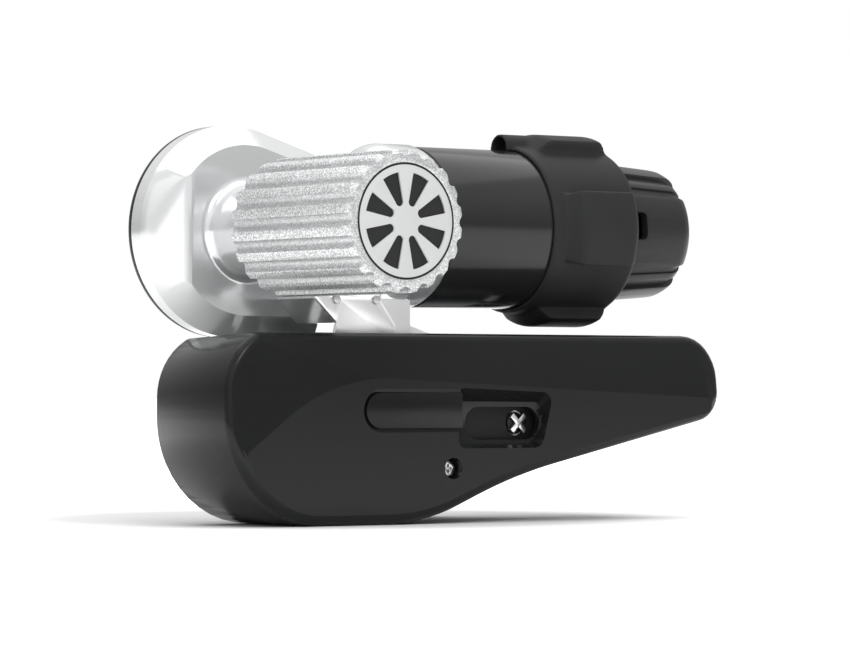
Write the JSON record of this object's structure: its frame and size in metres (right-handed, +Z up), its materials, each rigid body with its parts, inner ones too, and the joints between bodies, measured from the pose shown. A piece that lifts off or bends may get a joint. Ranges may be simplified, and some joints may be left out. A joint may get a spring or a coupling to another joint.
{
  "type": "caravan motor mover",
  "caption": "Roller-drive motor mover for a caravan: ribbed roller, gearbox and geared motor on a carriage that slides towards the tyre behind a moulded cover",
  "frame": {"origin": "centre of the four chassis bolt holes, on the rear face of the back plate", "axes": "+Z up, -Y away from the vehicle towards the viewer, -X towards the tyre"},
  "size_m": [0.2927, 0.1655, 0.189],
  "materials": {
    "frame_steel": "black paint, satin",
    "bright_steel": "turned steel, satin",
    "bronze": "plain bearing bronze, satin",
    "cover_plastic": "dark grey moulded plastic, glossy",
    "plate_black": "black, glossy",
    "case_aluminium": "satin die casting",
    "lid_black": "black paint, satin",
    "rubber_black": "black, matt",
    "bearing_steel": "ground steel",
    "gear_steel": "hobbed steel, oiled",
    "tube_black": "black paint, glossy",
    "inner_casting": "die casting, satin",
    "ferrite": "dark grey, matt",
    "holder_plastic": "tan moulding, matt",
    "cap_plastic": "dark grey moulded plastic, satin",
    "grey_paint": "light grey paint, satin",
    "roller_aluminium": "rough sparkling surface",
    "winding": "lacquered laminations and windings",
    "copper": "turned copper"
  },
  "bodies": {
    "base": {"back_plate": "frame_steel", "left_cheek": "frame_steel", "right_cheek": "frame_steel", "guide_rods": "bright_steel", "rod_clips": "bright_steel", "screw_nut": "bronze", "cover_post": "frame_steel", "cover": "cover_plastic", "name_plate": "plate_black", "cover_screw": "bright_steel"},
    "drive_unit": {"gearbox_housing": "case_aluminium", "rear_cover": "lid_black", "gasket": "rubber_black", "rear_cover_screws": "bright_steel", "tail_bearing": "bearing_steel", "neck_bearing": "bearing_steel", "shaft_seal": "rubber_black", "output_bearing": "bearing_steel", "motor_flange": "case_aluminium", "ring_gear": "gear_steel", "motor_tube": "tube_black", "motor_front_plate": "inner_casting", "motor_magnets": "ferrite", "front_bearing": "bearing_steel", "rear_bearing": "bearing_steel", "brush_holder": "holder_plastic", "brushes": "ferrite", "motor_end_bell": "inner_casting", "rubber_boot": "rubber_black", "end_cap": "cap_plastic", "carriage_plate": "grey_paint", "plate_rivets": "bright_steel", "front_slide_block": "inner_casting", "rear_slide_block": "inner_casting", "slide_bushes": "bronze", "spindle_cover": "inner_casting", "screw_bush": "bronze", "slot_shutter": "cap_plastic"},
    "roller": {"drive_roller": "roller_aluminium", "roller_cap": "cap_plastic", "trim_disc": "grey_paint", "roller_shaft": "bright_steel", "roller_key": "bright_steel", "roller_bolt": "bright_steel", "crown_gear": "gear_steel"},
    "armature": {"armature_shaft": "bright_steel", "armature_core": "winding", "commutator": "copper"},
    "carrier": {"planet_carrier": "gear_steel", "drive_pinion": "gear_steel"},
    "planet_1": {"planet_gear_1": "gear_steel"},
    "planet_2": {"planet_gear_2": "gear_steel"},
    "planet_3": {"planet_gear_3": "gear_steel"},
    "spindle": {"cross_spindle": "bright_steel", "spindle_crown": "gear_steel"},
    "screw": {"lead_screw": "bright_steel", "screw_clip": "bright_steel"}
  },
  "joints": [
    {"name": "engage_slide", "type": "slide", "parent": "base", "child": "drive_unit", "axis": [-1, 0, 0], "range_m": [0, 0.026]},
    {"name": "roller_spin", "type": "hinge", "parent": "drive_unit", "child": "roller", "pos_m": [-0.07, -0.11, 0.092], "axis": [0, 1, 0], "continuous": true},
    {"name": "carrier_spin", "type": "hinge", "parent": "drive_unit", "child": "carrier", "pos_m": [-0.02, -0.042, 0.095], "axis": [1, 0, 0], "continuous": true},
    {"name": "armature_spin", "type": "hinge", "parent": "drive_unit", "child": "armature", "pos_m": [0.06, -0.042, 0.095], "axis": [1, 0, 0], "continuous": true},
    {"name": "planet_1_spin", "type": "hinge", "parent": "carrier", "child": "planet_1", "pos_m": [0, -0.042, 0.11375], "axis": [1, 0, 0], "continuous": true},
    {"name": "planet_2_spin", "type": "hinge", "parent": "carrier", "child": "planet_2", "pos_m": [0, -0.05824, 0.08563], "axis": [1, 0, 0], "continuous": true},
    {"name": "planet_3_spin", "type": "hinge", "parent": "carrier", "child": "planet_3", "pos_m": [0, -0.02576, 0.08563], "axis": [1, 0, 0], "continuous": true},
    {"name": "screw_turn", "type": "hinge", "parent": "drive_unit", "child": "screw", "pos_m": [-0.02, -0.0705, 0.0005], "axis": [1, 0, 0], "range_deg": [-2345, 5]},
    {"name": "cross_turn", "type": "hinge", "parent": "drive_unit", "child": "spindle", "pos_m": [0.0452, -0.08, 0.0005], "axis": [0, 1, 0], "range_deg": [-5, 1565]}
  ],
  "couplings": [
    {"joint": "carrier_spin", "follows": "roller_spin", "ratio": -1.8},
    {"joint": "armature_spin", "follows": "roller_spin", "ratio": -9},
    {"joint": "planet_1_spin", "follows": "roller_spin", "ratio": 4.8},
    {"joint": "planet_2_spin", "follows": "roller_spin", "ratio": 4.8},
    {"joint": "planet_3_spin", "follows": "roller_spin", "ratio": 4.8},
    {"joint": "screw_turn", "follows": "engage_slide", "rad_per_m": -1570.8},
    {"joint": "cross_turn", "follows": "engage_slide", "rad_per_m": 1047.2}
  ]
}
